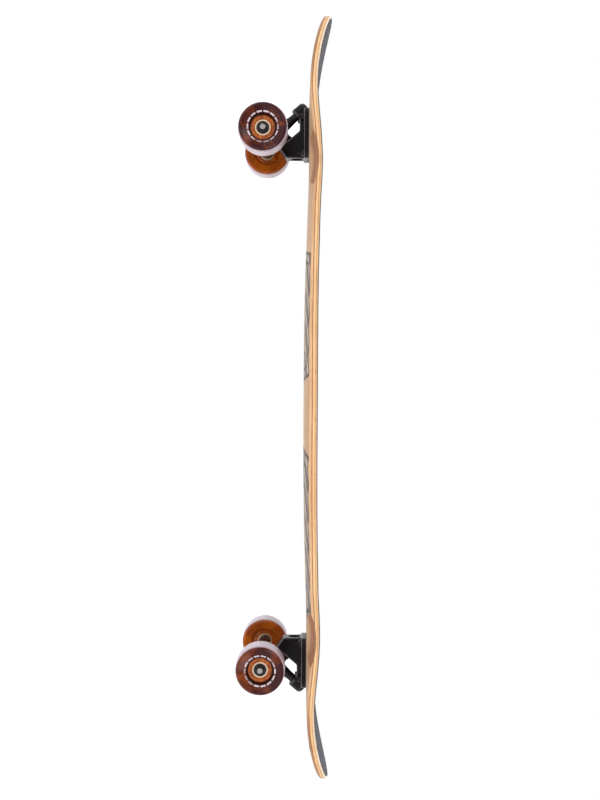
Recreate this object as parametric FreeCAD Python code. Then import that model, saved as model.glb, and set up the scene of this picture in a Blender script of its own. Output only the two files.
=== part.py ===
import FreeCAD, Part
import math
import os
from FreeCAD import Vector

# A twin-tip longboard skateboard: an eight-veneer maple deck on two reverse-kingpin trucks.
# Millimetres, +X towards the nose, +Y to the rider's left, +Z up.
# The origin is on the floor under the middle of the deck.

# Deck
deck_length = 1131.0
deck_width = 241.0
width_at_axles = 213.0
shoulder_width = 158.0
shoulder_setback = 42.0
ply_thickness = 1.35
core_ply_thickness = 2.7
outer_ply_inset = 1.0
second_ply_inset = 0.2
grip_thickness = 0.8
grip_inset = 3.4

# Moulded shape of the deck
rocker_depth = 6.1
rocker_short_of_plate = 9.5
rocker_fullness = 3.0
kick_beyond_plate = 2.6
kick_radius = 409.0
concave_depth = 9.3
flat_beyond_plate = 3.0
concave_fade_start = 278.0
concave_fade_end = 499.0
flare_rise = 4.5
flare_half_length = 84.0
flare_inboard_of_axle = 24.5
surface_margin = 14.0
surface_step_along = 20.0
surface_step_across = 12.0
slope_step = 0.5

# Wheel wells sanded into the underside
well_radius = 106.0
well_depth = 5.8
well_reach = 62.0
well_inboard_of_axle = 39.0

# Stance
wheelbase = 763.0
wheel_diameter = 70.0
axle_drop = 65.0
axle_inboard_of_plate = 8.0

# Steering geometry of a truck
steering_angle = 50.0
ring_from_axle = 21.5
seat_from_ring = 21.0
nose_reach = 50.0

# Base plate
plate_inboard = 34.5
plate_outboard = 39.4
plate_width = 58.0
plate_thickness = 7.5
plate_corner_radius = 8.0
bolt_spacing_along = 53.98
bolt_spacing_across = 41.28
block_width = 27.0
block_back = 33.5
block_depth = 34.0
block_edge_radius = 2.5
seat_half_length = 12.5
web_depth = 14.2
boss_wall = 2.4
boss_mouth = 38.7
boss_length = 20.8
boss_edge_radius = 6.0

# Hanger
hanger_width = 180.0
hanger_core_radius = 12.0
hanger_end_radius = 9.0
hanger_core_half = 22.0
hanger_collar_length = 6.0
ring_rim = 3.15
ring_thickness = 12.0
ring_hole_radius = 8.0
ring_recess_depth = 2.0
neck_root_radius = 8.5
neck_length = 18.0
nose_radius = 6.25
gusset_half_span = 58.0
gusset_tip_half_span = 13.0
gusset_tip_reach = 8.0
gusset_thickness = 9.0

# Kingpin stack
kingpin_radius = 4.75
kingpin_head_flats = 14.3
kingpin_head_height = 6.5
kingpin_head_cover = 14.0
head_bore_length = 20.0
bushing_radius = 12.0
bushing_tip_radius = 10.0
roadside_bushing_length = 15.0
cup_washer_thickness = 1.5
cup_washer_rim_height = 2.5
cup_washer_rim_wall = 1.2
kingpin_nut_height = 6.0
kingpin_nut_collar = 2.0
thread_stick_out = 2.0

# Pivot cup
cup_wall = 2.2
cup_floor = 2.5

# Axle and wheel hardware
axle_radius = 4.0
axle_nut_flats = 12.7
axle_nut_height = 5.5
axle_nut_collar = 1.6
axle_stick_out = 1.4
axle_end_chamfer = 0.8
speed_washer_wall = 1.45
speed_washer_thickness = 1.0

# Wheels
wheel_width = 46.0
tread_edge_width = 7.5
lip_width = 4.5
lip_shoulder_drop = 1.1
lip_shoulder_setback = 2.8
dish_wall = 3.7
dish_depth = 2.6
core_radius = 16.8
core_mouth_depth = 1.0
core_floor_lip = 0.8
core_ledge_width = 1.4
core_mouth_chamfer = 1.0

# Bearings
bearing_radius = 11.0
bearing_width = 7.0
outer_ring_wall = 1.7
inner_ring_wall = 1.65
spacer_length = 10.0
spacer_wall = 1.45
race_depth = 0.18
ball_count = 7
shield_thickness = 0.4
shield_setback = 0.2
cage_wall = 1.0
cage_width = 5.0

# Deck bolts
bolt_radius = 2.4
bolt_head_radius = 4.75
bolt_length = 28.6
bolt_socket_flats = 3.2
bolt_socket_depth = 1.6
bolt_nut_flats = 9.5
bolt_nut_height = 5.0

# Clearances
fit_gap = 0.05
bolt_hole_gap = 0.3
running_gap = 0.08
race_gap = 0.07
pocket_gap = 0.1
shield_gap = 0.3
recess_gap = 0.35
glue_gap = 0.05

# Layers of the deck, from the road side up; the core is two veneers with the same grain
ply_names = [
    "deck_bottom_veneer",
    "deck_lower_face_ply",
    "deck_lower_cross_ply",
    "deck_core_ply",
    "deck_upper_cross_ply",
    "deck_upper_face_ply",
    "deck_top_veneer",
]

# Values worked out from the driving sizes
up = Vector(0, 0, 1)
across = Vector(0, 1, 0)
ply_thicknesses = [core_ply_thickness if "core" in name else ply_thickness for name in ply_names]
deck_thickness = sum(ply_thicknesses)
axle_height = wheel_diameter / 2
deck_underside = axle_height + axle_drop
deck_top = deck_underside + deck_thickness + glue_gap + grip_thickness
bolt_head_height = ply_thickness + glue_gap + grip_thickness
axle_x = wheelbase / 2
plate_x = axle_x + axle_inboard_of_plate
flare_x = axle_x - flare_inboard_of_axle
plate_length = plate_inboard + plate_outboard
rocker_half_span = plate_x - plate_inboard - rocker_short_of_plate
kick_start = plate_x + plate_outboard + kick_beyond_plate
flat_half_width = plate_width / 2 + flat_beyond_plate
bearing_middle = (spacer_length + bearing_width) / 2
bearing_face = spacer_length / 2 + bearing_width
axle_bore = axle_radius + fit_gap
outer_ring_bore = bearing_radius - outer_ring_wall
inner_ring_radius = axle_bore + inner_ring_wall
ball_pitch_radius = (outer_ring_bore + inner_ring_radius) / 2
ball_radius = (outer_ring_bore - inner_ring_radius) / 2 + race_depth
core_face = bearing_face + core_mouth_depth
wheel_y = hanger_width / 2 + speed_washer_thickness + bearing_face
lean = math.radians(steering_angle)
pivot_way = Vector(math.cos(lean), 0, math.sin(lean))
kingpin_way = Vector(math.sin(lean), 0, -math.cos(lean))
axle_point = Vector(-axle_inboard_of_plate, 0, -axle_drop)
ring_centre = axle_point + pivot_way * ring_from_axle
recess_radius = bushing_radius + recess_gap
ring_radius = recess_radius + ring_rim
recess_floor = ring_thickness / 2 - ring_recess_depth
head_seat = seat_from_ring + kingpin_head_cover
roadside_face = recess_floor + roadside_bushing_length
nut_start = roadside_face + cup_washer_thickness
kingpin_end = nut_start + kingpin_nut_height + kingpin_nut_collar + thread_stick_out
cup_bore = nose_radius + running_gap
cup_radius = cup_bore + cup_wall
cup_length = nose_reach - boss_mouth + cup_floor
boss_radius = cup_radius + boss_wall


def smooth_step(value, start, end):
    share = min(max((value - start) / (end - start), 0.0), 1.0)
    return share * share * (3 - 2 * share)


def placed(shape, start, direction):
    # Moves a shape drawn up the Z axis so that it starts at a point and runs along a direction.
    moved = shape.copy()
    moved.Placement = FreeCAD.Placement(start, FreeCAD.Rotation(up, direction))
    return moved


def rod(radius, length, start, direction):
    return placed(Part.makeCylinder(radius, length), start, direction)


def cone(start_radius, end_radius, length, start, direction):
    return placed(Part.makeCone(start_radius, end_radius, length), start, direction)


def tube(outer, inner, length, start, direction):
    wall = Part.makeCylinder(outer, length).cut(Part.makeCylinder(inner, length))
    return placed(wall.Solids[0], start, direction)


def hexagon(flats, length, start, direction):
    corner = flats / math.sqrt(3)
    points = []
    for index in range(7):
        angle = math.radians(60 * index)
        points.append(Vector(corner * math.cos(angle), corner * math.sin(angle), 0))
    prism = Part.Face(Part.makePolygon(points)).extrude(up * length)
    return placed(prism, start, direction)


def nut(flats, height, collar, bore, start, direction):
    # A lock nut: a hexagon with a round collar that grips the thread.
    body = hexagon(flats, height, start, direction)
    ring = rod(flats / 2 - collar / 2, collar, start + direction * height, direction)
    hole = rod(bore, height + collar, start, direction)
    return body.fuse(ring).cut(hole).removeSplitter().Solids[0]


def turned(points):
    # Turns a closed outline, given as radius and Y, about the Y axis.
    corners = [Vector(radius, y, 0) for radius, y in points]
    return Part.Face(Part.makePolygon(corners + corners[:1])).revolve(Vector(), across, 360)


def runs_along(edge, direction):
    if len(edge.Vertexes) != 2:
        return False
    way = edge.Vertexes[1].Point - edge.Vertexes[0].Point
    return way.cross(direction).Length < 0.001


# Deck


def underside_height(x, y):
    along = abs(x)
    rocker = -rocker_depth * max(1 - (along / rocker_half_span) ** rocker_fullness, 0) ** 2
    kick = max(along - kick_start, 0) ** 2 / (2 * kick_radius)
    concave = concave_depth * (1 - smooth_step(along, concave_fade_start, concave_fade_end))
    flare = flare_rise * max(1 - ((along - flare_x) / flare_half_length) ** 2, 0) ** 2
    out = max(abs(y) - flat_half_width, 0) / (deck_width / 2 - flat_half_width)
    return deck_underside + rocker + kick + (concave + flare) * out ** 2


def deck_surface(offset):
    # A surface at a constant distance above the moulded underside.
    half_length = deck_length / 2 + surface_margin
    half_width = deck_width / 2 + surface_margin
    count_along = 2 * math.ceil(half_length / surface_step_along)
    count_across = 2 * math.ceil(half_width / surface_step_across)
    grid = []
    for i in range(count_along + 1):
        x = half_length * (2 * i / count_along - 1)
        row = []
        for j in range(count_across + 1):
            y = half_width * (2 * j / count_across - 1)
            rise_along = underside_height(x + slope_step, y) - underside_height(x - slope_step, y)
            rise_across = underside_height(x, y + slope_step) - underside_height(x, y - slope_step)
            stretch = math.hypot(2 * slope_step, rise_along, rise_across) / (2 * slope_step)
            row.append(Vector(x, y, underside_height(x, y) + offset * stretch))
        grid.append(row)
    surface = Part.BSplineSurface()
    surface.interpolate(grid)
    return surface.toShape()


def outline_quarter(inset):
    # One quarter of the plan outline, from the waist to the tip.
    tip = deck_length / 2
    corner_inset = inset * math.sqrt(0.5)
    points = [
        Vector(0, deck_width / 2 - inset, 0),
        Vector(axle_x, width_at_axles / 2 - inset, 0),
        Vector(tip - shoulder_setback - corner_inset, shoulder_width / 2 - corner_inset, 0),
        Vector(tip - inset, 0, 0),
    ]
    curve = Part.BSplineCurve()
    curve.interpolate(Points=points, InitialTangent=Vector(1, 0, 0), FinalTangent=Vector(0, -1, 0))
    return curve


def outline_prism(inset):
    quarter = outline_quarter(inset).toShape()
    half = [quarter, quarter.mirror(Vector(), Vector(1, 0, 0))]
    other_half = [edge.mirror(Vector(), across) for edge in half]
    outline = Part.Wire(Part.__sortEdges__(half + other_half))
    return Part.Face(outline).extrude(up * 2 * deck_underside)


def slab(inset, low, high):
    # The part of the outline's prism that lies between two surfaces.
    pieces = outline_prism(inset).generalFuse([low, high])[1][0]
    return sorted(pieces, key=lambda piece: piece.CenterOfMass.z)[1]


def half_width_at(x):
    # Half the deck's width at one place along it, measured on the outline itself.
    station = Part.LineSegment(Vector(x, 0, 0), Vector(x, deck_width, 0))
    return outline_quarter(0).intersectCC(station)[0].Y


def wheel_well(end, side):
    # A shallow scoop that is deepest at the rail and runs out towards the middle.
    x = axle_x - well_inboard_of_axle
    rail = half_width_at(x)
    inner = rail - well_reach
    deep = Vector(end * x, side * rail, underside_height(x, rail) + well_depth)
    shallow = Vector(end * x, side * inner, underside_height(x, inner))
    outward = (deep - shallow).normalize()
    away = Vector(0, -outward.z, outward.y) * side
    start = shallow - outward * well_reach - away * well_radius
    return rod(well_radius, 3 * well_reach, start, outward)


def bolt_places(plate_centre):
    places = []
    for along in (-1, 1):
        for side in (-1, 1):
            x = plate_centre + along * bolt_spacing_along / 2
            places.append((x, side * bolt_spacing_across / 2))
    return places


def bolt_holes(radius):
    # Upright holes through the deck, one for each of its bolts.
    places = bolt_places(plate_x) + bolt_places(-plate_x)
    return [rod(radius, 2 * bolt_length, Vector(x, y, deck_top + bolt_length), -up) for x, y in places]


def build_deck(parts):
    wells = [wheel_well(end, side) for end in (1, -1) for side in (1, -1)]
    shank_holes = bolt_holes(bolt_radius + bolt_hole_gap)
    head_holes = bolt_holes(bolt_head_radius + bolt_hole_gap)
    insets = [outer_ply_inset, second_ply_inset, 0, 0, 0, second_ply_inset, outer_ply_inset]
    height = 0
    low = deck_surface(height)
    for layer, name in enumerate(ply_names):
        height += ply_thicknesses[layer]
        high = deck_surface(height)
        holes = head_holes if name == ply_names[-1] else shank_holes
        parts[name] = slab(insets[layer], low, high).cut(wells + holes).Solids[0]
        low = high
    grip = slab(grip_inset, deck_surface(deck_thickness + glue_gap), deck_surface(deck_top - deck_underside))
    parts["grip_tape"] = grip.cut(head_holes).Solids[0]


# Trucks, drawn with the middle of the base plate's top at the origin and the board's tip towards +X


def along_kingpin(distance):
    return ring_centre + kingpin_way * distance


def along_pivot(distance):
    return ring_centre + pivot_way * distance


def deck_room():
    # The space above a truck that the deck takes up.
    room = Part.makeBox(2 * plate_length, plate_width, plate_length)
    room.translate(Vector(-plate_length, -plate_width / 2, 0))
    return room


def base_plate():
    flange = Part.makeBox(plate_length, plate_width, plate_thickness)
    flange.translate(Vector(-plate_inboard, -plate_width / 2, -plate_thickness))
    flange = flange.makeFillet(plate_corner_radius, [e for e in flange.Edges if runs_along(e, up)])
    seat_centre = along_kingpin(-seat_from_ring)
    boss_start = along_pivot(boss_mouth)
    profile = [
        Vector(-block_back, 0, -plate_thickness / 2),
        Vector(-block_back, 0, -block_depth),
        seat_centre - pivot_way * seat_half_length,
        seat_centre - pivot_way * ((web_depth + seat_centre.z) / pivot_way.z),
        Vector(boss_start.x, 0, -web_depth),
        Vector(boss_start.x, 0, -plate_thickness / 2),
    ]
    block = Part.Face(Part.makePolygon(profile + profile[:1])).extrude(across * block_width)
    block.translate(across * (-block_width / 2))
    corners = [e for e in block.Edges if runs_along(e, across) and e.CenterOfMass.z < -web_depth - 1]
    block = block.makeFillet(block_edge_radius, corners)
    boss = Part.makeCylinder(boss_radius, boss_length)
    rims = [e for e in boss.Edges if e.Closed and e.CenterOfMass.z > boss_length / 2]
    boss = placed(boss.makeFillet(boss_edge_radius, rims), boss_start, pivot_way)
    plate = flange.fuse([block, boss]).cut(deck_room())
    head_bore = kingpin_head_flats / math.sqrt(3) + recess_gap
    cuts = [
        rod(kingpin_radius + fit_gap, head_seat, along_kingpin(-head_seat), kingpin_way),
        rod(head_bore, head_bore_length, along_kingpin(-head_seat), -kingpin_way),
        rod(cup_radius + fit_gap, cup_length + fit_gap, boss_start, pivot_way),
    ]
    for x, y in bolt_places(0):
        cuts.append(rod(bolt_radius + bolt_hole_gap, plate_thickness, Vector(x, y, 0), -up))
    return plate.cut(cuts).removeSplitter().Solids[0]


def pivot_cup():
    mouth = along_pivot(boss_mouth)
    bore = rod(cup_bore, nose_reach - boss_mouth + running_gap, mouth, pivot_way)
    return rod(cup_radius, cup_length, mouth, pivot_way).cut([bore, deck_room()]).Solids[0]


def kingpin():
    start = along_kingpin(-head_seat)
    head = hexagon(kingpin_head_flats, kingpin_head_height, start, -kingpin_way)
    shank = rod(kingpin_radius, head_seat + kingpin_end, start, kingpin_way)
    return head.fuse(shank).removeSplitter().Solids[0]


def kingpin_nut():
    bore = kingpin_radius + fit_gap
    start = along_kingpin(nut_start)
    return nut(kingpin_head_flats, kingpin_nut_height, kingpin_nut_collar, bore, start, kingpin_way)


def boardside_bushing():
    length = seat_from_ring - cup_washer_thickness - recess_floor
    start = along_kingpin(-recess_floor)
    return tube(bushing_radius, kingpin_radius + fit_gap, length, start, -kingpin_way)


def roadside_bushing():
    start = along_kingpin(recess_floor)
    body = cone(bushing_radius, bushing_tip_radius, roadside_bushing_length, start, kingpin_way)
    bore = rod(kingpin_radius + fit_gap, roadside_bushing_length, start, kingpin_way)
    return body.cut(bore).Solids[0]


def cup_washer(start, direction):
    # A dished washer: a flat disc with a rim that keeps the bushing in place.
    height = cup_washer_thickness + cup_washer_rim_height
    body = rod(recess_radius + cup_washer_rim_wall, height, start, direction)
    inside = rod(recess_radius, cup_washer_rim_height, start + direction * cup_washer_thickness, direction)
    hole = rod(kingpin_radius + fit_gap, height, start, direction)
    return body.cut([inside, hole]).Solids[0]


def bushing_washers():
    boardside = cup_washer(along_kingpin(-seat_from_ring), kingpin_way)
    roadside = cup_washer(along_kingpin(nut_start), -kingpin_way)
    return Part.makeCompound([boardside, roadside])


def hanger():
    end = hanger_width / 2
    taper_end = end - hanger_collar_length
    half = [
        (hanger_core_radius, hanger_core_half),
        (hanger_end_radius, taper_end),
        (hanger_end_radius, end),
        (axle_bore, end),
    ]
    housing = turned([(radius, -y) for radius, y in reversed(half)] + half)
    housing.translate(axle_point)
    ring = rod(ring_radius, ring_thickness, along_kingpin(-ring_thickness / 2), kingpin_way)
    neck = cone(neck_root_radius, nose_radius, neck_length, along_pivot(recess_radius), pivot_way)
    nose_start = recess_radius + neck_length
    nose_end = nose_reach - nose_radius
    nose = rod(nose_radius, nose_end - nose_start, along_pivot(nose_start), pivot_way)
    tip = placed(Part.makeSphere(nose_radius), along_pivot(nose_end), pivot_way)
    outline = []
    for reach, y in (
        (gusset_tip_reach, gusset_tip_half_span),
        (-ring_from_axle, gusset_half_span),
        (-ring_from_axle, -gusset_half_span),
        (gusset_tip_reach, -gusset_tip_half_span),
    ):
        outline.append(along_pivot(reach) + across * y - kingpin_way * (gusset_thickness / 2))
    gusset = Part.Face(Part.makePolygon(outline + outline[:1])).extrude(kingpin_way * gusset_thickness)
    casting = housing.fuse([ring, neck, nose, tip, gusset])
    cuts = [
        rod(ring_hole_radius, ring_thickness, along_kingpin(-ring_thickness / 2), kingpin_way),
        rod(axle_bore, hanger_width, axle_point - across * end, across),
    ]
    for way in (kingpin_way, -kingpin_way):
        cuts.append(rod(recess_radius, seat_from_ring, ring_centre + way * recess_floor, way))
    return casting.cut(cuts).removeSplitter().Solids[0]


def axle():
    half = wheel_y + bearing_face + speed_washer_thickness
    half += axle_nut_height + axle_nut_collar + axle_stick_out
    bar = rod(axle_radius, 2 * half, axle_point - across * half, across)
    return bar.makeChamfer(axle_end_chamfer, [e for e in bar.Edges if e.Closed])


def axle_washers():
    washers = []
    for side in (1, -1):
        for y in (-bearing_face, bearing_face + speed_washer_thickness):
            start = axle_point + across * side * (wheel_y + y)
            outer = axle_bore + speed_washer_wall
            washers.append(tube(outer, axle_bore, speed_washer_thickness, start, -across * side))
    return Part.makeCompound(washers)


def axle_nuts():
    nuts = []
    for side in (1, -1):
        start = axle_point + across * side * (wheel_y + bearing_face + speed_washer_thickness)
        nuts.append(nut(axle_nut_flats, axle_nut_height, axle_nut_collar, axle_bore, start, across * side))
    return Part.makeCompound(nuts)


def bearing_spacers():
    spacers = []
    for side in (1, -1):
        start = axle_point + across * (side * wheel_y - spacer_length / 2)
        spacers.append(tube(axle_bore + spacer_wall, axle_bore, spacer_length, start, across))
    return Part.makeCompound(spacers)


def mounting_bolts():
    bolts = []
    for x, y in bolt_places(0):
        top = Vector(x, y, deck_top - deck_underside)
        head = cone(bolt_head_radius, bolt_radius, bolt_head_height, top, -up)
        shank = rod(bolt_radius, bolt_length, top, -up)
        socket = hexagon(bolt_socket_flats, bolt_socket_depth, top, -up)
        bolts.append(head.fuse(shank).cut(socket).removeSplitter().Solids[0])
    return Part.makeCompound(bolts)


def mounting_nuts():
    nuts = []
    for x, y in bolt_places(0):
        start = Vector(x, y, -plate_thickness)
        body = hexagon(bolt_nut_flats, bolt_nut_height, start, -up)
        nuts.append(body.cut(rod(bolt_radius + fit_gap, bolt_nut_height, start, -up)).Solids[0])
    return Part.makeCompound(nuts)


def build_trucks(parts):
    pieces = {
        "base_plate": base_plate(),
        "pivot_cup": pivot_cup(),
        "kingpin": kingpin(),
        "kingpin_nut": kingpin_nut(),
        "boardside_bushing": boardside_bushing(),
        "roadside_bushing": roadside_bushing(),
        "bushing_washers": bushing_washers(),
        "hanger": hanger(),
        "axle": axle(),
        "axle_washers": axle_washers(),
        "axle_nuts": axle_nuts(),
        "bearing_spacers": bearing_spacers(),
        "mounting_bolts": mounting_bolts(),
        "mounting_nuts": mounting_nuts(),
    }
    for end, turn in (("front", 0), ("rear", 180)):
        rotation = FreeCAD.Rotation(up, turn)
        place = FreeCAD.Placement(rotation.multVec(Vector(plate_x, 0, 0)) + up * deck_underside, rotation)
        for name, piece in pieces.items():
            parts[end + "_" + name] = piece.transformed(place.toMatrix(), True)


# Wheels, drawn about the Y axis with the outer face towards +Y


def wheel_tyre():
    face = wheel_width / 2
    radius = wheel_diameter / 2
    shoulder = Vector(radius - lip_shoulder_drop, face - lip_shoulder_setback, 0)
    crown = Vector(radius - lip_width, face, 0)
    tread = Vector(radius, face - tread_edge_width, 0)
    dish_edge = Vector(core_radius + dish_wall, face - dish_depth, 0)
    floor = Vector(core_radius + core_floor_lip, core_face, 0)
    core_corner = Vector(core_radius, core_face, 0)
    outer = [
        Part.makeLine(core_corner, floor),
        Part.makeLine(floor, dish_edge),
        Part.makeLine(dish_edge, crown),
        Part.Arc(crown, shoulder, tread).toShape(),
    ]
    inner = [edge.mirror(Vector(), across) for edge in outer]
    middle = [
        Part.makeLine(tread, Vector(tread.x, -tread.y, 0)),
        Part.makeLine(core_corner, Vector(core_corner.x, -core_corner.y, 0)),
    ]
    profile = Part.Wire(Part.__sortEdges__(outer + inner + middle))
    return Part.Face(profile).revolve(Vector(), across, 360)


def wheel_core():
    half = [
        (bearing_radius - core_ledge_width, spacer_length / 2),
        (bearing_radius + fit_gap, spacer_length / 2),
        (bearing_radius + fit_gap, bearing_face),
        (bearing_radius + core_mouth_chamfer, core_face),
        (core_radius, core_face),
    ]
    return turned([(radius, -y) for radius, y in reversed(half)] + half)


def race_groove():
    return placed(Part.makeTorus(ball_pitch_radius, ball_radius + race_gap), Vector(), across)


def bearing_pair(piece):
    # One copy of a piece at each of a wheel's two bearings.
    copies = []
    for side in (1, -1):
        copy = piece.copy()
        copy.translate(across * side * bearing_middle)
        copies += copy.Solids
    return Part.makeCompound(copies)


def bearing_outer_rings():
    start = across * (-bearing_width / 2)
    ring = tube(bearing_radius, outer_ring_bore, bearing_width, start, across)
    return bearing_pair(ring.cut(race_groove()))


def bearing_inner_rings():
    start = across * (-bearing_width / 2)
    ring = tube(inner_ring_radius, axle_bore, bearing_width, start, across)
    return bearing_pair(ring.cut(race_groove()))


def bearing_shields():
    shields = []
    for side in (1, -1):
        start = across * side * (bearing_width / 2 - shield_setback)
        inner = inner_ring_radius + shield_gap
        shields.append(tube(outer_ring_bore, inner, shield_thickness, start, -across * side))
    return bearing_pair(Part.makeCompound(shields))


def bearing_balls():
    # The balls of each bearing and the cage that spaces them.
    start = across * (-cage_width / 2)
    outer = ball_pitch_radius + cage_wall / 2
    cage = tube(outer, ball_pitch_radius - cage_wall / 2, cage_width, start, across)
    balls = []
    pockets = []
    for index in range(ball_count):
        angle = 2 * math.pi * (index + 0.5) / ball_count
        outward = Vector(math.cos(angle), 0, math.sin(angle))
        balls.append(Part.makeSphere(ball_radius, outward * ball_pitch_radius))
        inside = outward * (ball_pitch_radius - cage_wall)
        pockets.append(rod(ball_radius + pocket_gap, 2 * cage_wall, inside, outward))
    return bearing_pair(Part.makeCompound(balls + cage.cut(pockets).Solids))


def build_wheels(parts):
    pieces = {
        "wheel_tyre": wheel_tyre(),
        "wheel_core": wheel_core(),
        "bearing_outer_rings": bearing_outer_rings(),
        "bearing_inner_rings": bearing_inner_rings(),
        "bearing_shields": bearing_shields(),
        "bearing_balls": bearing_balls(),
    }
    for end, end_way in (("front", 1), ("rear", -1)):
        for side, turn in (("left", 0), ("right", 180)):
            rotation = FreeCAD.Rotation(up, turn)
            centre = rotation.multVec(across * wheel_y)
            place = FreeCAD.Placement(centre + Vector(end_way * axle_x, 0, axle_height), rotation)
            for name, piece in pieces.items():
                parts[end + "_" + side + "_" + name] = piece.transformed(place.toMatrix(), True)


model = {}
build_deck(model)
build_trucks(model)
build_wheels(model)
os.makedirs("parts", exist_ok=True)
for node, shape in model.items():
    shape.exportStep("parts/" + node + ".step")
print(len(model), "nodes")
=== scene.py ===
import math
import bmesh
import bpy
from mathutils import Matrix, Vector


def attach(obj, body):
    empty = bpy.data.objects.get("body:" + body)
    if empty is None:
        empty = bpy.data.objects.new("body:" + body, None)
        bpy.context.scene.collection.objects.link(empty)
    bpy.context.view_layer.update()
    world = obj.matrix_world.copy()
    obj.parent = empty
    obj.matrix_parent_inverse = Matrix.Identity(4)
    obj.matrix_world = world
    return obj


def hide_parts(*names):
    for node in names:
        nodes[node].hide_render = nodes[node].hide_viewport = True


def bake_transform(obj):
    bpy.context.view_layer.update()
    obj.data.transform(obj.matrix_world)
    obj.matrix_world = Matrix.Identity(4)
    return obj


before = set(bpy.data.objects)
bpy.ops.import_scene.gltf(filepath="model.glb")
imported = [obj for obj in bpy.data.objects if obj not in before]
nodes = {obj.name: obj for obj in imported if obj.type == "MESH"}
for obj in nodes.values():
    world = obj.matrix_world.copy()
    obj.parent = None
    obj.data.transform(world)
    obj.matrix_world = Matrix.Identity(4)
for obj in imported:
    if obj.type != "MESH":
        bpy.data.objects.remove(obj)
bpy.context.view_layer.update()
print("frame loaded:", len(nodes), "nodes")

trucks = ("front", "rear")
wheels = [end + "_" + side for end in trucks for side in ("left", "right")]
noiseSpan = (0.3, 0.7)  # most values of a noise texture lie between these
mergeGap = 0.000004
white, black = (1, 1, 1, 1), (0, 0, 0, 1)


# shader and geometry tree helpers

def addNode(tree, kind, inputs=None, **settings):
    node = tree.nodes.new(kind)
    for key, value in settings.items():
        setattr(node, key, value)
    for key, value in (inputs or {}).items():
        if isinstance(value, bpy.types.NodeSocket):
            tree.links.new(value, node.inputs[key])
        else:
            node.inputs[key].default_value = value
    return node


def paint(red, green, blue):
    # screen values 0-255 to the linear colour that a shader takes
    parts = [c / 255 for c in (red, green, blue)]
    return (*[c / 12.92 if c < 0.04 else ((c + 0.055) / 1.055) ** 2.4 for c in parts], 1)


def calc(tree, operation, first, second=0.0, third=0.0):
    return addNode(tree, "ShaderNodeMath", {0: first, 1: second, 2: third}, operation=operation).outputs[0]


def spread(tree, value, low, high, newLow=0.0, newHigh=1.0, smooth=False):
    kind = "SMOOTHSTEP" if smooth else "LINEAR"
    inputs = {"Value": value, "From Min": low, "From Max": high, "To Min": newLow, "To Max": newHigh}
    return addNode(tree, "ShaderNodeMapRange", inputs, interpolation_type=kind).outputs[0]


def objectPoint(tree, scale=(1, 1, 1), shift=(0, 0, 0)):
    point = addNode(tree, "ShaderNodeTexCoord").outputs["Object"]
    inputs = {"Vector": point, "Scale": scale, "Location": shift}
    return addNode(tree, "ShaderNodeMapping", inputs).outputs[0]


def partsOf(tree, vector):
    return addNode(tree, "ShaderNodeSeparateXYZ", {0: vector}).outputs


def noise(tree, point, scale, detail=3.0, rough=0.5, twist=0.0):
    inputs = {"Vector": point, "Scale": scale, "Detail": detail, "Roughness": rough, "Distortion": twist}
    return addNode(tree, "ShaderNodeTexNoise", inputs).outputs[0]


def ramp(tree, factor, stops, steps=False):
    node = addNode(tree, "ShaderNodeValToRGB", {0: factor})
    node.color_ramp.interpolation = "CONSTANT" if steps else "LINEAR"
    elements = node.color_ramp.elements
    elements.remove(elements[1])
    elements[0].position = stops[0][0]
    elements[0].color = stops[0][1]
    for place, colour in stops[1:]:
        elements.new(place).color = colour
    return node.outputs[0]


def mixed(tree, factor, first, second, mode="MIX"):
    inputs = {0: factor, 6: first, 7: second}
    return addNode(tree, "ShaderNodeMix", inputs, data_type="RGBA", blend_type=mode).outputs[2]


def newFinish(name, sockets):
    material = bpy.data.materials.new(name)
    material.use_nodes = True
    shader = material.node_tree.nodes["Principled BSDF"]
    for socket, value in sockets.items():
        shader.inputs[socket].default_value = value
    return material, material.node_tree, shader


def finishWith(tree, shader, colour, rough=None, height=None, strength=0.2, distance=0.0004):
    tree.links.new(colour, shader.inputs["Base Color"])
    if rough is not None:
        tree.links.new(rough, shader.inputs["Roughness"])
    if height is not None:
        inputs = {"Height": height, "Strength": strength, "Distance": distance}
        tree.links.new(addNode(tree, "ShaderNodeBump", inputs).outputs[0], shader.inputs["Normal"])


def coat(material, *names):
    for name in names:
        slots = nodes[name].data.materials
        slots.clear()
        slots.append(material)


# mesh helpers

def copyOf(name):
    # a CAD mesh is loose triangles, so its doubles are merged first
    bm = bmesh.new()
    bm.from_mesh(nodes[name].data)
    bmesh.ops.remove_doubles(bm, verts=bm.verts, dist=mergeGap)
    return bm


def addPiece(name, bm, *materials, sharp=34):
    bm.normal_update()
    for face in bm.faces:
        face.smooth = True
    for edge in bm.edges:
        edge.smooth = len(edge.link_faces) == 2 and edge.calc_face_angle() < math.radians(sharp)
    mesh = bpy.data.meshes.new(name)
    bm.to_mesh(mesh)
    bm.free()
    for material in materials:
        mesh.materials.append(material)
    piece = bpy.data.objects.new(name, mesh)
    bpy.context.scene.collection.objects.link(piece)
    return piece


def settle(piece):
    # what the modifiers make becomes the piece's own plain mesh
    graph = bpy.context.evaluated_depsgraph_get()
    plain = bpy.data.meshes.new_from_object(piece.evaluated_get(graph))
    piece.modifiers.clear()
    piece.data = plain


def seat(piece, slot, body, *replaced):
    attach(piece, body)
    if replaced:
        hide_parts(*replaced)


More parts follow.
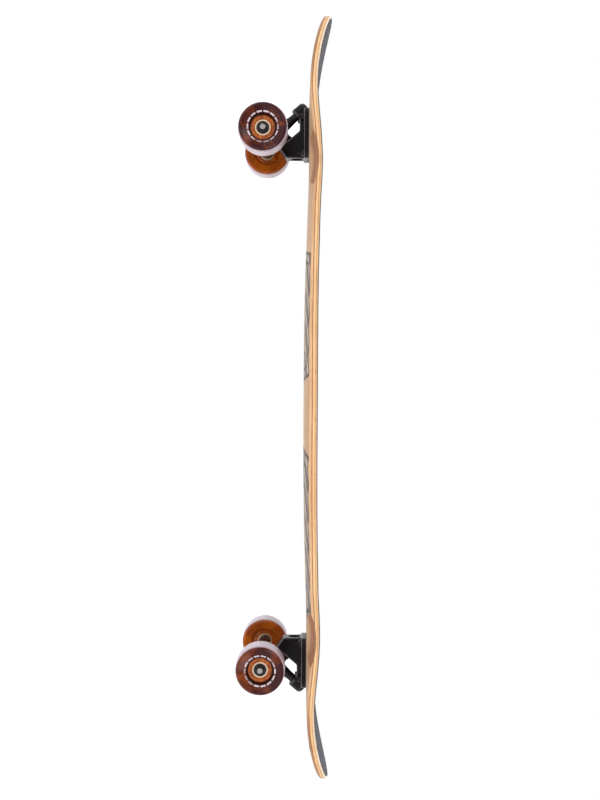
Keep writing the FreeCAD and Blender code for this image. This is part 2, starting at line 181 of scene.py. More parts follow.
def turnedRing(bm, rows, start, way):
    # rows of (radius, distance) round an axis, one row for each step round it, closed on itself
    stand = Vector((0, 0, 1)).rotation_difference(way)
    loops = []
    for index, row in enumerate(rows):
        angle = 2 * math.pi * index / len(rows)
        around = Vector((math.cos(angle), math.sin(angle), 0))
        points = [around * radius + Vector((0, 0, far)) for radius, far in row]
        loops.append([bm.verts.new(start + stand @ point) for point in points])
    for index, loop in enumerate(loops):
        ahead = loops[(index + 1) % len(loops)]
        for step in range(len(loop)):
            after = (step + 1) % len(loop)
            bm.faces.new((loop[step], ahead[step], ahead[after], loop[after]))


# wood of the deck

coreGrain = {"pale": paint(240, 202, 150), "middle": paint(232, 190, 138), "dark": paint(212, 166, 116),
             "figure": (5, 130, 130), "fibre": (60, 2600, 2600), "gloss": 0.30, "rough": (0.42, 0.58),
             "relief": 0.10}
edgeGrain = {"pale": paint(226, 188, 146), "middle": paint(214, 172, 130), "dark": paint(190, 146, 104),
             "figure": (6, 120, 120), "fibre": (64, 2400, 2400), "gloss": 0.28, "rough": (0.42, 0.58),
             "relief": 0.10}
crossGrain = {"pale": paint(180, 126, 92), "middle": paint(164, 110, 80), "dark": paint(138, 90, 64),
              "figure": (90, 40, 260), "fibre": (2200, 120, 2600), "gloss": 0.20, "rough": (0.48, 0.64),
              "relief": 0.10}
softCross = {"pale": paint(212, 168, 126), "middle": paint(200, 154, 112), "dark": paint(176, 130, 92),
             "figure": (90, 40, 260), "fibre": (2200, 120, 2600), "gloss": 0.20, "rough": (0.48, 0.64),
             "relief": 0.10}
# the underside's veneer is painted darker than the top's maple: painted shade on the face that looks down at
# the floor
shadedUnderGrain = {"pale": paint(198, 166, 134), "middle": paint(186, 152, 120), "dark": paint(164, 128, 98),
             "figure": (4, 70, 70), "fibre": (46, 1900, 1900), "gloss": 0.12, "rough": (0.40, 0.56),
             "relief": 0.08}
wellGrain = {"pale": paint(176, 130, 98), "middle": paint(160, 114, 84), "dark": paint(140, 98, 70),
             "figure": (9, 90, 160), "fibre": (80, 1700, 1700), "gloss": 0.12, "rough": (0.46, 0.62),
             "relief": 0.10, "inner": paint(196, 160, 124), "innerTo": (0.080, 0.062)}
# what all the wood shares: where its tones lie in the figure, and how its fibres darken and lift it
figureStops = {"dark": 0.30, "middle": 0.48, "pale": 0.70}
fibreLook = {"clear": 0.42, "dark": 0.72, "tint": (0.80, 0.74, 0.68, 1), "share": 0.75, "depth": 0.0003}
# the kicks' rails get a brown painted shade on their downward faces and a pale painted highlight on their
# upward faces
kickShading = {"from": (0.40, 0.50), "most": 0.75, "below": (0.10, -0.65), "above": (0.20, 0.75),
            "paintedShade": paint(122, 80, 54), "paintedHighlight": paint(250, 238, 220)}
# two panels of plain chevrons and stepped bands on the underside: where they are, their size and tones
panels = {"centres": (0.120, -0.200), "halfLengths": (0.104, 0.144), "halfWidth": 0.117, "taper": 0.15,
          "toothLength": 0.040, "toothDepth": 0.16, "chevron": 0.046, "slope": 1.3, "hatch": 0.0062,
          "slate": paint(72, 78, 84), "grey": paint(150, 142, 138), "pale": paint(192, 178, 162),
          "ink": paint(36, 30, 28), "hatchLine": (0.30, 0.36), "hatchShare": 0.22, "wearSpan": (0.35, 0.62),
          "cover": (0.97, 0.74),
          "lines": ((0.17, 0.20), (0.43, 0.46), (0.56, 0.59), (0.80, 0.84), (0.93, 0.98)),
          "fills": ((0.20, 0.43), (0.59, 0.93)),
          "tones": ((0.0, "ink"), (0.13, "slate"), (0.44, "ink"), (0.50, "grey"), (0.76, "pale"),
                    (0.90, "grey"))}


def grainOf(tree, wood):
    figure = noise(tree, objectPoint(tree, wood["figure"]), 1.0, detail=4, rough=0.55, twist=0.7)
    fibre = noise(tree, objectPoint(tree, wood["fibre"]), 1.0, rough=0.6)
    colour = ramp(tree, figure, [(place, wood[tone]) for tone, place in figureStops.items()])
    fleck = ramp(tree, fibre, [(fibreLook["clear"], white), (fibreLook["dark"], fibreLook["tint"])])
    return mixed(tree, fibreLook["share"], colour, fleck, "MULTIPLY"), fibre


def finishWood(tree, shader, wood, colour, fibre):
    rough = spread(tree, fibre, *noiseSpan, *wood["rough"])
    finishWith(tree, shader, colour, rough, fibre, wood["relief"], fibreLook["depth"])


def shadedAtKicks(tree, colour):
    x = partsOf(tree, objectPoint(tree))[0]
    upward = partsOf(tree, addNode(tree, "ShaderNodeTexCoord").outputs["Normal"])[2]
    atKick = spread(tree, calc(tree, "ABSOLUTE", x), *kickShading["from"], 0.0, kickShading["most"], smooth=True)
    below = calc(tree, "MULTIPLY", atKick, spread(tree, upward, *kickShading["below"], smooth=True))
    above = calc(tree, "MULTIPLY", atKick, spread(tree, upward, *kickShading["above"], smooth=True))
    # painted shade on the downward faces and painted highlight on the upward faces of the kicks
    colour = mixed(tree, below, colour, kickShading["paintedShade"])
    return mixed(tree, above, colour, kickShading["paintedHighlight"])


def woodFinish(name, wood):
    material, tree, shader = newFinish(name, {"Specular IOR Level": wood["gloss"]})
    colour, fibre = grainOf(tree, wood)
    finishWood(tree, shader, wood, shadedAtKicks(tree, colour), fibre)
    return material


def wellFinish():
    # sanded through the face, darker towards the rail and paler towards the middle of the deck
    wood = wellGrain
    material, tree, shader = newFinish("sanded well", {"Specular IOR Level": wood["gloss"]})
    colour, fibre = grainOf(tree, wood)
    across = calc(tree, "ABSOLUTE", partsOf(tree, objectPoint(tree))[1])
    colour = mixed(tree, spread(tree, across, *wood["innerTo"], smooth=True), colour, wood["inner"])
    finishWood(tree, shader, wood, colour, fibre)
    return material


def panelBands(tree, x, y, centre, halfLength):
    # one number that grows from the panel's middle to its edge, with teeth along its sides
    fromCentre = calc(tree, "SUBTRACT", x, centre)
    along = calc(tree, "DIVIDE", calc(tree, "ABSOLUTE", fromCentre), halfLength)
    aside = calc(tree, "DIVIDE", calc(tree, "ABSOLUTE", y), panels["halfWidth"])
    slanted = calc(tree, "ADD", along, calc(tree, "MULTIPLY", aside, panels["taper"]))
    teeth = calc(tree, "PINGPONG", calc(tree, "DIVIDE", fromCentre, panels["toothLength"]), 0.5)
    side = calc(tree, "ADD", aside, calc(tree, "MULTIPLY", teeth, panels["toothDepth"]))
    return calc(tree, "MAXIMUM", slanted, side)


def stepped(tree, value, pairs):
    # one between the two numbers of each pair, nothing elsewhere
    stops = [(0.0, black)]
    for start, stop in pairs:
        stops += [(start, white), (stop, black)]
    return ramp(tree, value, stops, steps=True)


def printedFinish():
    wood = shadedUnderGrain
    material, tree, shader = newFinish("printed veneer", {"Specular IOR Level": wood["gloss"]})
    colour, fibre = grainOf(tree, wood)
    x, y = partsOf(tree, objectPoint(tree))[:2]
    extents = zip(panels["centres"], panels["halfLengths"])
    bands = [panelBands(tree, x, y, centre, halfLength) for centre, halfLength in extents]
    reach = calc(tree, "MINIMUM", bands[0], bands[1])
    lines = stepped(tree, reach, panels["lines"])
    filled = stepped(tree, reach, panels["fills"])
    across = calc(tree, "ABSOLUTE", y)
    slanting = calc(tree, "ADD", x, calc(tree, "MULTIPLY", across, panels["slope"]))
    chevron = calc(tree, "FRACT", calc(tree, "DIVIDE", slanting, panels["chevron"]))
    tones = [(place, panels[shade]) for place, shade in panels["tones"]]
    tone = ramp(tree, chevron, tones, steps=True)
    diagonal = calc(tree, "DIVIDE", calc(tree, "SUBTRACT", x, across), panels["hatch"])
    hatch = spread(tree, calc(tree, "PINGPONG", diagonal, 0.5), *panels["hatchLine"])
    tone = mixed(tree, calc(tree, "MULTIPLY", hatch, panels["hatchShare"]), tone, panels["ink"])
    wearAndHighlight = spread(tree, fibre, *panels["wearSpan"], *panels["cover"])
    colour = mixed(tree, calc(tree, "MULTIPLY", filled, wearAndHighlight), colour, tone)
    colour = mixed(tree, calc(tree, "MULTIPLY", lines, wearAndHighlight), colour, panels["ink"])
    finishWood(tree, shader, wood, colour, fibre)
    return material


# grit of the grip tape

grit = {"paper": paint(58, 57, 63), "grain": paint(118, 116, 124), "size": 2400, "sparkle": 0.7,
        "sparkleSpan": (0.38, 0.66), "rough": (0.72, 0.95), "gloss": 0.35, "relief": 0.6, "depth": 0.0006,
        "dust": 22, "dustSpan": (0.35, 0.7), "dustShade": (0.86, 0.86, 0.88, 1)}


def gripFinish():
    material, tree, shader = newFinish("grip grit", {"Specular IOR Level": grit["gloss"]})
    grains = addNode(tree, "ShaderNodeTexVoronoi", {"Vector": objectPoint(tree), "Scale": grit["size"]})
    sparkle = noise(tree, objectPoint(tree), grit["size"] * grit["sparkle"], detail=2, rough=0.7)
    dust = noise(tree, objectPoint(tree), grit["dust"], detail=4)
    colour = mixed(tree, spread(tree, sparkle, *grit["sparkleSpan"]), grit["paper"], grit["grain"])
    dusty, clean = grit["dustSpan"]
    shade = ramp(tree, dust, [(dusty, grit["dustShade"]), (clean, white)])
    colour = mixed(tree, 1.0, colour, shade, "MULTIPLY")
    rough = spread(tree, sparkle, *noiseSpan, *grit["rough"])
    finishWith(tree, shader, colour, rough, grains.outputs[0], grit["relief"], grit["depth"])
    return material


# metals of the trucks and bearings

casting = {"black": paint(9, 5, 8), "sheen": paint(16, 11, 14), "wearAndHighlight": paint(136, 126, 134),
           "edge": (0.505, 0.56), "skin": 900, "cloud": 60, "cloudSpan": (0.35, 0.7), "gloss": 0.16,
           "rough": (0.22, 0.34), "relief": 0.22, "depth": 0.0003}
# lay is how the noise is stretched along the marks of the tools
blackSteel = {"colour": paint(36, 34, 37), "light": paint(60, 57, 61), "rough": (0.30, 0.44),
              "lay": (300, 60, 300), "metal": 1.0}
zincSteel = {"colour": paint(146, 140, 136), "light": paint(178, 172, 168), "rough": (0.24, 0.40),
             "lay": (300, 60, 300), "metal": 1.0}
# the races' cream colours are a painted highlight, raised so the rings look bright in the shade of the hanger
# and wheel
paintedBrightRaces = {"colour": paint(224, 186, 148), "light": paint(244, 224, 198), "rough": (0.14, 0.26),
             "lay": (160, 900, 160), "metal": 0.3}
toolMarks = {"scale": 4.0, "span": (0.35, 0.65), "relief": 0.06, "depth": 0.0002}


def castingFinish():
    material, tree, shader = newFinish("black casting", {"Specular IOR Level": casting["gloss"]})
    skin = noise(tree, objectPoint(tree), casting["skin"], rough=0.6)
    cloud = noise(tree, objectPoint(tree), casting["cloud"])
    colour = mixed(tree, spread(tree, cloud, *casting["cloudSpan"]), casting["black"], casting["sheen"])
    bend = addNode(tree, "ShaderNodeNewGeometry").outputs["Pointiness"]
    # painted highlight: the black casting turns lighter along its sharp edges, where the mesh bends most
    colour = mixed(tree, spread(tree, bend, *casting["edge"]), colour, casting["wearAndHighlight"])
    rough = spread(tree, cloud, *noiseSpan, *casting["rough"])
    finishWith(tree, shader, colour, rough, skin, casting["relief"], casting["depth"])
    return material


def steelFinish(name, steel):
    material, tree, shader = newFinish(name, {"Metallic": steel["metal"]})
    lines = noise(tree, objectPoint(tree, steel["lay"]), toolMarks["scale"], rough=0.65)
    colour = mixed(tree, spread(tree, lines, *toolMarks["span"]), steel["colour"], steel["light"])
    rough = spread(tree, lines, *noiseSpan, *steel["rough"])
    finishWith(tree, shader, colour, rough, lines, toolMarks["relief"], toolMarks["depth"])
    return material


# urethane and moulded plastic

# the wheels stand at these distances from the board's middle, so one finish serves all four
wheelPlace = {"axleX": 0.3815, "middleY": 0.103, "axleZ": 0.035}
# clear urethane, frosted on the tread; the maroon outer face is painted shade and the amber inner face is
# painted light shining through the urethane from behind
tyre = {"maroon": paint(54, 15, 18), "deep": paint(40, 10, 12), "amber": paint(136, 62, 18),
        "glow": paint(180, 94, 22), "swirl": 42, "outerSpan": (0.50, 0.84), "innerSpan": (0.35, 0.68),
        "fade": (-0.016, 0.016), "floorGlowRise": (0.004, -0.032), "floorGlowShare": 0.11, "wallRadii": (0.0215, 0.0190),
        "gloss": 0.20, "rough": 0.16, "relief": 0.05, "depth": 0.0003}
tread = {"pale": paint(196, 186, 202), "shade": paint(158, 134, 140), "radii": (0.0332, 0.0345),
         "scuff": (260, 1400, 260), "scuffSpan": (0.35, 0.65), "rough": 0.28}
# a ring of plain dashes on the outer face at the lip of the dish, partly print and partly a painted highlight
# on the lip; gap is where a dash begins and is full, in shares of the pitch
dashes = {"colour": paint(204, 192, 200), "inner": 0.0202, "outer": 0.0224, "count": 14, "gap": (0.10, 0.13),
          "onFace": (0.015, 0.017), "wear": 55, "wearSpan": (0.40, 0.58), "least": 0.45}
core = {"amber": paint(198, 104, 16), "deep": paint(136, 58, 8), "cloud": 160, "cloudSpan": (0.36, 0.68),
        "gloss": 0.35, "rough": (0.18, 0.32), "relief": 0.05}
softBlack = {"colour": paint(34, 32, 35), "light": paint(54, 51, 54), "cloud": 380, "cloudSpan": (0.35, 0.65),
             "gloss": 0.4, "relief": 0.12, "depth": 0.0002}


def dashRing(tree, along, aside, rise, radius):
    turn = calc(tree, "DIVIDE", calc(tree, "ARCTAN2", rise, along), 2 * math.pi / dashes["count"])
    dash = spread(tree, calc(tree, "PINGPONG", turn, 0.5), *dashes["gap"])
    middle, half = (dashes["inner"] + dashes["outer"]) / 2, (dashes["outer"] - dashes["inner"]) / 2
    inRing = calc(tree, "COMPARE", radius, middle, half)
    inRing = calc(tree, "MULTIPLY", inRing, spread(tree, aside, *dashes["onFace"]))
    wear = noise(tree, objectPoint(tree), dashes["wear"], detail=1)
    left = spread(tree, wear, *dashes["wearSpan"], dashes["least"], 1.0)
    return calc(tree, "MULTIPLY", calc(tree, "MULTIPLY", dash, inRing), left)


def tyreFinish():
    material, tree, shader = newFinish("wheel urethane", {"Specular IOR Level": tyre["gloss"]})
    x, y, z = partsOf(tree, objectPoint(tree))
    along = calc(tree, "SUBTRACT", calc(tree, "ABSOLUTE", x), wheelPlace["axleX"])
    aside = calc(tree, "SUBTRACT", calc(tree, "ABSOLUTE", y), wheelPlace["middleY"])
    rise = calc(tree, "SUBTRACT", z, wheelPlace["axleZ"])
    squared = calc(tree, "ADD", calc(tree, "MULTIPLY", along, along), calc(tree, "MULTIPLY", rise, rise))
    radius = calc(tree, "SQRT", squared)
    swirl = noise(tree, objectPoint(tree), tyre["swirl"], rough=0.55, twist=0.8)
    outside = spread(tree, aside, *tyre["fade"], smooth=True)
    # random pour swirl plus a painted glow of floor light through the urethane, stronger on the side towards
    # the floor
    swirlAndFloorGlow = calc(tree, "ADD", swirl, spread(tree, rise, *tyre["floorGlowRise"], 0.0, tyre["floorGlowShare"]))
    outer = mixed(tree, spread(tree, swirlAndFloorGlow, *tyre["outerSpan"]), tyre["maroon"], tyre["amber"])
    # painted shade in the recessed wall of the dish round the core
    outer = mixed(tree, spread(tree, radius, *tyre["wallRadii"]), outer, tyre["deep"])
    inner = mixed(tree, spread(tree, swirl, *tyre["innerSpan"]), tyre["amber"], tyre["glow"])
    # painted light: shaded maroon on the outer face, lit amber with its glow on the inner face, of the same
    # urethane
    colour = mixed(tree, outside, inner, outer)
    # printed dashes that also carry the lip's painted highlight
    colour = mixed(tree, dashRing(tree, along, aside, rise, radius), colour, dashes["colour"])
    ground = spread(tree, radius, *tread["radii"], smooth=True)
    scuff = noise(tree, objectPoint(tree, tread["scuff"]), 1.0)
    frosted = mixed(tree, spread(tree, scuff, *tread["scuffSpan"]), tread["shade"], tread["pale"])
    colour = mixed(tree, ground, colour, frosted)
    rough = spread(tree, ground, 0.0, 1.0, tyre["rough"], tread["rough"])
    finishWith(tree, shader, colour, rough, scuff, tyre["relief"], tyre["depth"])
    return material


def coreFinish():
    material, tree, shader = newFinish("amber core", {"Specular IOR Level": core["gloss"]})
    cloud = noise(tree, objectPoint(tree), core["cloud"], rough=0.6, twist=0.6)
    colour = mixed(tree, spread(tree, cloud, *core["cloudSpan"]), core["deep"], core["amber"])
    rough = spread(tree, cloud, *noiseSpan, *core["rough"])
    finishWith(tree, shader, colour, rough, cloud, core["relief"])
    return material


def softFinish(name, rubber, low, high):
    material, tree, shader = newFinish(name, {"Specular IOR Level": rubber["gloss"]})
    cloud = noise(tree, objectPoint(tree), rubber["cloud"], rough=0.6)
    colour = mixed(tree, spread(tree, cloud, *rubber["cloudSpan"]), rubber["colour"], rubber["light"])
    rough = spread(tree, cloud, *noiseSpan, low, high)
    finishWith(tree, shader, colour, rough, cloud, rubber["relief"], rubber["depth"])
    return material


mapleCore = woodFinish("maple core ply", coreGrain)
mapleEdge = woodFinish("maple ply", edgeGrain)
crossEdge = woodFinish("cross ply", crossGrain)
paleCross = woodFinish("pale cross ply", softCross)
mapleFace = woodFinish("maple face", coreGrain)
sandedWell = wellFinish()
printedFace = printedFinish()
gripGrit = gripFinish()
blackCasting = castingFinish()
darkSteel = steelFinish("black oxide steel", blackSteel)
zinc = steelFinish("zinc steel", zincSteel)
bearingSteel = steelFinish("bearing steel", paintedBrightRaces)
wheelUrethane = tyreFinish()
amberCore = coreFinish()
blackRubber = softFinish("black urethane", softBlack, low=0.38, high=0.55)
sealRubber = softFinish("black seal", softBlack, low=0.30, high=0.42)

coat(gripGrit, "grip_tape")
for end in trucks:
    coat(darkSteel, end + "_kingpin", end + "_mounting_bolts", end + "_bushing_washers")
    coat(zinc, end + "_axle", end + "_axle_washers", end + "_bearing_spacers")
for wheel in wheels:
    coat(wheelUrethane, wheel + "_wheel_tyre")
    coat(amberCore, wheel + "_wheel_core")
    coat(bearingSteel, *[wheel + "_bearing_" + part for part in ("outer_rings", "inner_rings", "balls")])
    coat(sealRubber, wheel + "_bearing_shields")
print("finishes assigned")


# deck plies with a rounded rail; sizes are the moulded shape of the deck
deck = {"underside": 0.100, "thickness": 0.0108, "railRadius": 0.004, "halfWidth": 0.1205, "flat": 0.032,
        "rocker": 0.0061, "rockerSpan": 0.3455, "fullness": 3.0, "kickStart": 0.4315, "kickRadius": 0.409,
        "concave": 0.0093, "fadeStart": 0.278, "fadeEnd": 0.499,
        "flare": 0.0045, "flareAt": 0.357, "flareHalf": 0.084,
        "glueLines": (0, 0.00135, 0.0027, 0.00405, 0.00675, 0.0081, 0.00945, 0.0108), "glueSnap": 0.0003,
        "boltZone": (0.34, 0.44, 0.034), "wellX": 0.3425, "wellHalf": 0.060, "wellFromY": 0.036,
        "slopeStep": 0.0005, "faceTilt": 0.5}
# for each ply, how far its CAD rail is already set in, its wood and its slot
plies = {"deck_bottom_veneer": (0.001, printedFace, "printed_veneer"),
         "deck_lower_face_ply": (0.0002, mapleEdge, "maple_ply"),
         "deck_lower_cross_ply": (0, crossEdge, "cross_ply"),
         "deck_core_ply": (0, mapleCore, "maple_ply"),
         "deck_upper_cross_ply": (0, paleCross, "cross_ply"),
         "deck_upper_face_ply": (0.0002, mapleEdge, "maple_ply"),
         "deck_top_veneer": (0.001, mapleFace, "maple_ply")}


def undersideAt(x, y):
    along = abs(x)
    rocker = -deck["rocker"] * max(1 - (along / deck["rockerSpan"]) ** deck["fullness"], 0) ** 2
    kick = max(along - deck["kickStart"], 0) ** 2 / (2 * deck["kickRadius"])
    fade = min(max((along - deck["fadeStart"]) / (deck["fadeEnd"] - deck["fadeStart"]), 0), 1)
    concave = deck["concave"] * (1 - fade * fade * (3 - 2 * fade))
    flare = deck["flare"] * max(1 - ((along - deck["flareAt"]) / deck["flareHalf"]) ** 2, 0) ** 2
    out = max(abs(y) - deck["flat"], 0) / (deck["halfWidth"] - deck["flat"])
    return deck["underside"] + rocker + kick + (concave + flare) * out ** 2


def heightInDeck(x, y, z):
    step = deck["slopeStep"]
    riseX = (undersideAt(x + step, y) - undersideAt(x - step, y)) / (2 * step)
    riseY = (undersideAt(x, y + step) - undersideAt(x, y - step)) / (2 * step)
    height = (z - undersideAt(x, y)) / math.sqrt(1 + riseX ** 2 + riseY ** 2)
    nearest = min(deck["glueLines"], key=lambda line: abs(line - height))
    return nearest if abs(nearest - height) < deck["glueSnap"] else height


def railInset(height):
    # how far the rounded rail lies inside the widest line of the deck
    fromFace = max(min(height, deck["thickness"] - height), 0)
    short = max(deck["railRadius"] - fromFace, 0)
    return deck["railRadius"] - math.sqrt(deck["railRadius"] ** 2 - short ** 2)


def roundPly(name, inset, material, slot):
    bm = copyOf(name)
    bm.normal_update()
    nearX, farX, boltY = deck["boltZone"]
    outward = {}
    for face in bm.faces:
        middle = face.calc_center_median()
        atBolts = nearX < abs(middle.x) < farX and abs(middle.y) < boltY
        if abs(face.normal.z) < deck["faceTilt"] and not atBolts:
            face.material_index = 1
            for vert in face.verts:
                way = Vector((face.normal.x, face.normal.y, 0)) * face.calc_area()
                outward[vert] = outward.get(vert, Vector()) + way
    for vert, way in outward.items():
        x, y, z = vert.co
        moved = vert.co - way.normalized() * (railInset(heightInDeck(x, y, z)) - inset)
        vert.co = (moved.x, moved.y, z + undersideAt(moved.x, moved.y) - undersideAt(x, y))
    for face in bm.faces:
        middle = face.calc_center_median()
        inWell = abs(abs(middle.x) - deck["wellX"]) < deck["wellHalf"] and abs(middle.y) > deck["wellFromY"]
        if inWell and face.normal.z < -deck["faceTilt"] and heightInDeck(*middle) > 0:
            face.material_index = 2
    edge = mapleEdge if inset else material
    piece = addPiece(name + "_rounded", bm, material, edge, sandedWell)
    seat(piece, slot, "board", name)


for name, (inset, material, slot) in plies.items():
    roundPly(name, inset, material, slot)
print("deck rails rounded")


# trucks: castings with soft edges, bushings, lock nuts and threads
steering = {"lean": math.radians(50), "ringX": 0.39532, "ringZ": 0.05147}
castSkin = {"voxel": 0.0008, "soften": 6, "ease": 0.5}
bushings = {"boardside_bushing": {"near": -0.004, "length": 0.0155, "radii": (0.0120, 0.0127, 0.0120)},
            "roadside_bushing": {"near": 0.004, "length": 0.015, "radii": (0.0120, 0.0119, 0.0100)}}
bushingForm = {"bore": 0.0048, "edge": 0.0011, "edgeCut": 0.3, "steps": 8}
pivotCup = {"mouth": 0.0387, "length": 0.0138, "bore": 0.00633, "depth": 0.01138, "radius": 0.00853,
            "lip": 0.0100, "lipHeight": 0.0007, "lipEdge": 0.4, "floorShare": 0.7, "floorBend": 0.002,
            "chamfer": 0.001, "pole": 0.0001}
ringSteps = 72
nuts = {"kingpin": {"flats": 0.0143, "height": 0.006, "collar": 0.002, "bore": 0.0048, "from": 0.0205},
        "axle": {"flats": 0.0127, "height": 0.0055, "collar": 0.0016, "bore": 0.00405, "from": 0.116},
        "deck": {"flats": 0.0095, "height": 0.0036, "collar": 0.0014, "bore": 0.00245, "from": 0.0925}}
# shares of a nut's half width, of its collar's height and of its bore
nutForm = {"face": 0.965, "chamferSlope": 0.577, "foot": 0.1, "side": 0.45, "roundIn": 0.3, "roundDrop": 0.08,
           "crown": 0.55, "mouth": 1.12, "mouthDip": 0.25}
boltPattern = {"x": 0.3895, "halfAlong": 0.02699, "halfAcross": 0.02064}
threads = {"deck": {"radius": 0.0024, "pitch": 0.0008, "from": 0.0872, "length": 0.0038, "ridge": 0.00032},
           "kingpin": {"radius": 0.00475, "pitch": 0.0010, "from": 0.0286, "length": 0.0015, "ridge": 0.0004},
           "axle": {"radius": 0.0040, "pitch": 0.0006, "from": 0.1231, "length": 0.0006, "ridge": 0.00024}}
threadForm = {"stepsPerTurn": 28, "sides": 4}


def noseward(end):
    return 1 if end == "front" else -1


def steerLine(end):
    # middle of the hanger's ring, the way from it down the kingpin, and the way up to the pivot cup
    fore, lean = noseward(end), steering["lean"]
    down = Vector((fore * math.sin(lean), 0, -math.cos(lean)))
    up = Vector((fore * math.cos(lean), 0, math.sin(lean)))
    return Vector((fore * steering["ringX"], 0, steering["ringZ"])), down, up


def softCasting(name, body):
    piece = addPiece(name + "_cast", copyOf(name), blackCasting)
    skin = piece.modifiers.new("cast skin", "REMESH")
    skin.mode = "VOXEL"
    skin.voxel_size = castSkin["voxel"]
    skin.use_smooth_shade = True
    soft = piece.modifiers.new("soft edges", "SMOOTH")
    soft.factor = castSkin["ease"]
    soft.iterations = castSkin["soften"]
    settle(piece)
    seat(piece, "truck_casting", body, name)


def turnedPiece(name, row, start, way):
    bm = bmesh.new()
    turnedRing(bm, [row] * ringSteps, start, way)
    bmesh.ops.recalc_face_normals(bm, faces=bm.faces)
    return addPiece(name, bm, blackRubber)


def softBushing(end, name, shape):
    ring, down, _ = steerLine(end)
    way = down if shape["near"] > 0 else -down
    start = ring + way * abs(shape["near"])
    length, steps = shape["length"], bushingForm["steps"]
    bore, edge = bushingForm["bore"], bushingForm["edge"]
    cut = edge * bushingForm["edgeCut"]
    first, middle, last = shape["radii"]
    pull = 2 * middle - (first + last) / 2  # the bowed side passes through the middle radius
    row = [(bore, 0), (first - edge, 0), (first - cut, cut), (first, edge)]
    for index in range(1, steps):
        share = index / steps
        bow = first * (1 - share) ** 2 + last * share ** 2 + 2 * share * (1 - share) * pull
        row.append((bow, edge + (length - 2 * edge) * share))
    row += [(last, length - edge), (last - cut, length - cut), (last - edge, length), (bore, length)]
    piece = turnedPiece(end + "_" + name + "_soft", row, start, way)
    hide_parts(end + "_" + name)
    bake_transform(piece)


def softCup(end):
    # the cup that the hanger's nose turns in, with a thin lip round the mouth
    ring, _, up = steerLine(end)
    cup = pivotCup
    bore, depth, radius, length = cup["bore"], cup["depth"], cup["radius"], cup["length"]
    lip, high, bend, pole = cup["lip"], cup["lipHeight"], cup["chamfer"], cup["pole"]
    flat, edge = bore * cup["floorShare"], high * cup["lipEdge"]
    hollow = [(pole, depth), (flat, depth), (bore, depth - cup["floorBend"]), (bore, edge)]
    rim = [(bore + edge, -high + edge), (bore + 2 * edge, -high), (lip - edge, -high), (lip, -high + edge)]
    outside = [(lip, 0), (radius, 0), (radius, length - bend), (radius - bend, length), (pole, length)]
    row = hollow + rim + outside
    piece = turnedPiece(end + "_pivot_cup_lipped", row, ring + up * cup["mouth"], up)
    seat(piece, "bushing", "board", end + "_pivot_cup")


def lockNut(bm, nut, start, way):
    # hexagon with chamfered corners, and a round collar for the locking ring
    half, tall, collar, bore = nut["flats"] / 2, nut["height"], nut["collar"], nut["bore"]
    face, side, top = half * nutForm["face"], half - collar / 2, tall + collar
    crown = [(side, tall + collar * nutForm["foot"]), (side, top - collar * nutForm["side"]),
             (side - collar * nutForm["roundIn"], top - collar * nutForm["roundDrop"]),
             (side - collar * nutForm["crown"], top), (bore * nutForm["mouth"], top),
             (bore, top - collar * nutForm["mouthDip"])]
    rows = []
    for index in range(ringSteps):
        aside = (2 * math.pi * index / ringSteps) % (math.pi / 3) - math.pi / 6
        reach = half / math.cos(aside)
        chamfer = (reach - face) * nutForm["chamferSlope"]
        rows.append([(bore, 0), (face, 0), (reach, chamfer), (reach, tall - chamfer), (face, tall)] + crown)
    turnedRing(bm, rows, start, way)


def nutSet(name, nut, places, material, slot, body, replaced):
    bm = bmesh.new()
    for start, way in places:
        lockNut(bm, nut, start, way)
    bmesh.ops.recalc_face_normals(bm, faces=bm.faces)
    seat(addPiece(name, bm, material, sharp=25), slot, body, replaced)


def threadTree():
    tree = bpy.data.node_groups.new("thread ridges", "GeometryNodeTree")
    tree.interface.new_socket("Geometry", in_out="INPUT", socket_type="NodeSocketGeometry")
    for name in ("Radius", "Turns", "Length", "Ridge"):
        tree.interface.new_socket(name, in_out="INPUT", socket_type="NodeSocketFloat")
    tree.interface.new_socket("Material", in_out="INPUT", socket_type="NodeSocketMaterial")
    tree.interface.new_socket("Geometry", in_out="OUTPUT", socket_type="NodeSocketGeometry")
    given = addNode(tree, "NodeGroupInput").outputs
    helix = {"Resolution": threadForm["stepsPerTurn"], "Rotations": given["Turns"], "Height": given["Length"],
             "Start Radius": given["Radius"], "End Radius": given["Radius"]}
    spiral = addNode(tree, "GeometryNodeCurveSpiral", helix).outputs[0]
    circle = {"Resolution": threadForm["sides"], "Radius": given["Ridge"]}
    profile = addNode(tree, "GeometryNodeCurvePrimitiveCircle", circle).outputs[0]
    swept = {"Curve": spiral, "Profile Curve": profile, "Fill Caps": True}
    ridge = addNode(tree, "GeometryNodeCurveToMesh", swept).outputs[0]
    way = addNode(tree, "GeometryNodeInputNamedAttribute", {"Name": "way"}, data_type="FLOAT_VECTOR")
    turn = addNode(tree, "FunctionNodeAlignRotationToVector", {"Vector": way.outputs[0]}, axis="Z")
    copies = {"Points": given["Geometry"], "Instance": ridge, "Rotation": turn.outputs[0]}
    placed = addNode(tree, "GeometryNodeInstanceOnPoints", copies).outputs[0]
    real = addNode(tree, "GeometryNodeRealizeInstances", {"Geometry": placed}).outputs[0]
    finished = {"Geometry": real, "Material": given["Material"]}
    done = addNode(tree, "GeometryNodeSetMaterial", finished).outputs[0]
    addNode(tree, "NodeGroupOutput", {"Geometry": done})
    return tree


